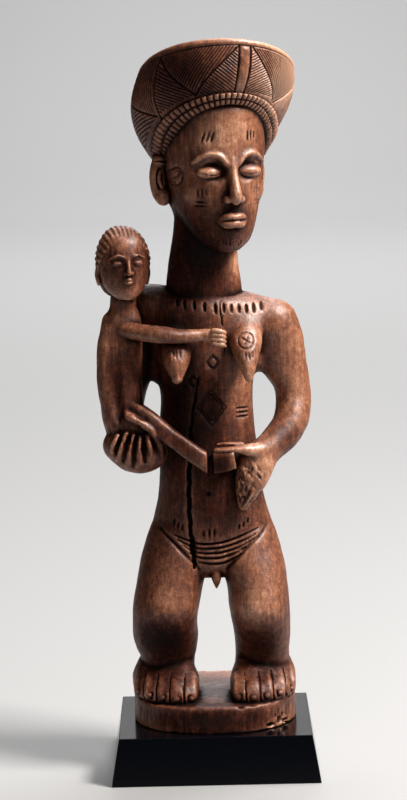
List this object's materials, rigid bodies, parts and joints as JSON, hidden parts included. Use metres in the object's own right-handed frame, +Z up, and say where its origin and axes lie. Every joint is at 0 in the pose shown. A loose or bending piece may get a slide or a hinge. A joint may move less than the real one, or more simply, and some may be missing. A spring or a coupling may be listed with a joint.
{
  "type": "african maternity figure",
  "caption": "Carved wooden figure of a standing mother with a tall hatched coiffure and a child on her hand, on an oval base and a black tapered plinth.",
  "frame": {"origin": "middle of the plinth's flat underside", "axes": "+Z up, -Y towards the front of the figure, +X towards the figure's left side"},
  "size_m": [0.1816, 0.1534, 0.6216],
  "materials": {
    "carved_wood": "dark reddish brown carved wood, patinated and worn to a soft sheen",
    "plinth_lacquer": "wood block painted gloss black"
  },
  "bodies": {
    "root": {"figure": "carved_wood", "plinth": "plinth_lacquer"}
  },
  "joints": []
}
